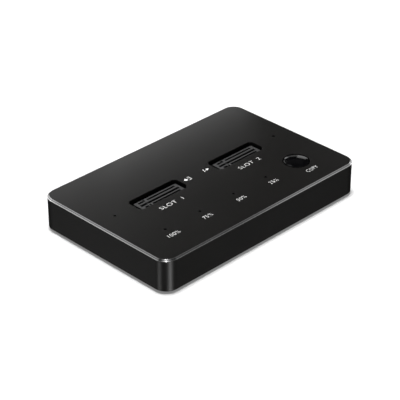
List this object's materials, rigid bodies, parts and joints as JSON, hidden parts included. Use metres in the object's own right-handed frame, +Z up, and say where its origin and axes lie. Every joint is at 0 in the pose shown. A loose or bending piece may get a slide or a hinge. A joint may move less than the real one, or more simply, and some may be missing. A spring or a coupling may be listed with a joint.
{
  "type": "ssd docking station",
  "caption": "Low rectangular metal dock with upright card sockets in its top, a domed copy button, status light holes, and data and power connectors in its back wall.",
  "frame": {"origin": "on the table, under the middle of the case, at the soles of the feet", "axes": "+X along the long side towards the button end, +Y towards the connector wall, +Z up"},
  "size_m": [0.105, 0.068, 0.0154],
  "materials": {
    "top_case": "black anodised, bead blasted, bright cut top edge",
    "bottom_cover": "fine textured moulding",
    "connector_plate": "fine textured moulding",
    "rubber_feet": "matt",
    "cover_screws": "black oxide",
    "board_screws": "zinc",
    "main_board": "solder mask",
    "left_socket_frame": "moulded",
    "left_socket_back_comb": "moulded",
    "left_socket_front_comb": "moulded",
    "left_socket_contacts": "gold plated",
    "right_socket_frame": "moulded",
    "right_socket_back_comb": "moulded",
    "right_socket_front_comb": "moulded",
    "right_socket_contacts": "gold plated",
    "socket_hold_downs": "tinned",
    "copy_button": "polished",
    "switch_base": "moulded",
    "switch_cover": "plain",
    "switch_plunger": "moulded",
    "switch_dome": "plain",
    "switch_terminals": "tinned",
    "progress_light_pipes": "smoke clear",
    "drive_light_pipes": "smoke clear",
    "progress_lights": "moulded",
    "drive_lights": "moulded",
    "usb_shell": "satin",
    "usb_tongue": "moulded",
    "usb_contacts": "gold plated",
    "power_jack_body": "moulded",
    "power_jack_pin": "nickel plated",
    "power_jack_spring": "nickel plated",
    "power_jack_terminals": "tinned",
    "bridge_chip": "moulded",
    "flash_chip": "moulded",
    "flash_chip_leads": "tinned",
    "clock_crystal": "plain",
    "regulator_chips": "moulded",
    "power_inductors": "matt",
    "bulk_capacitors": "satin",
    "ceramic_capacitors": "fired",
    "chip_resistors": "fired"
  },
  "bodies": {
    "dock": {"top_case": "top_case", "bottom_cover": "bottom_cover", "connector_plate": "connector_plate", "rubber_feet": "rubber_feet", "cover_screws": "cover_screws", "board_screws": "board_screws", "main_board": "main_board", "left_socket_frame": "left_socket_frame", "left_socket_back_comb": "left_socket_back_comb", "left_socket_front_comb": "left_socket_front_comb", "left_socket_contacts": "left_socket_contacts", "right_socket_frame": "right_socket_frame", "right_socket_back_comb": "right_socket_back_comb", "right_socket_front_comb": "right_socket_front_comb", "right_socket_contacts": "right_socket_contacts", "socket_hold_downs": "socket_hold_downs", "switch_base": "switch_base", "switch_cover": "switch_cover", "switch_dome": "switch_dome", "switch_terminals": "switch_terminals", "progress_light_pipes": "progress_light_pipes", "drive_light_pipes": "drive_light_pipes", "progress_lights": "progress_lights", "drive_lights": "drive_lights", "usb_shell": "usb_shell", "usb_tongue": "usb_tongue", "usb_contacts": "usb_contacts", "power_jack_body": "power_jack_body", "power_jack_pin": "power_jack_pin", "power_jack_spring": "power_jack_spring", "power_jack_terminals": "power_jack_terminals", "bridge_chip": "bridge_chip", "flash_chip": "flash_chip", "flash_chip_leads": "flash_chip_leads", "clock_crystal": "clock_crystal", "regulator_chips": "regulator_chips", "power_inductors": "power_inductors", "bulk_capacitors": "bulk_capacitors", "ceramic_capacitors": "ceramic_capacitors", "chip_resistors": "chip_resistors"},
    "button": {"copy_button": "copy_button"},
    "plunger": {"switch_plunger": "switch_plunger"}
  },
  "joints": [
    {"name": "copy_press", "type": "slide", "parent": "dock", "child": "button", "axis": [0, 0, -1], "range_m": [0, 0.0005], "stiffness_N_per_m": 1600, "springref_m": -0.0006, "deforming": ["switch_dome"]},
    {"name": "plunger_press", "type": "slide", "parent": "dock", "child": "plunger", "axis": [0, 0, -1], "range_m": [0, 0.0005]}
  ],
  "couplings": [
    {"joint": "plunger_press", "follows": "copy_press", "ratio": 1}
  ]
}
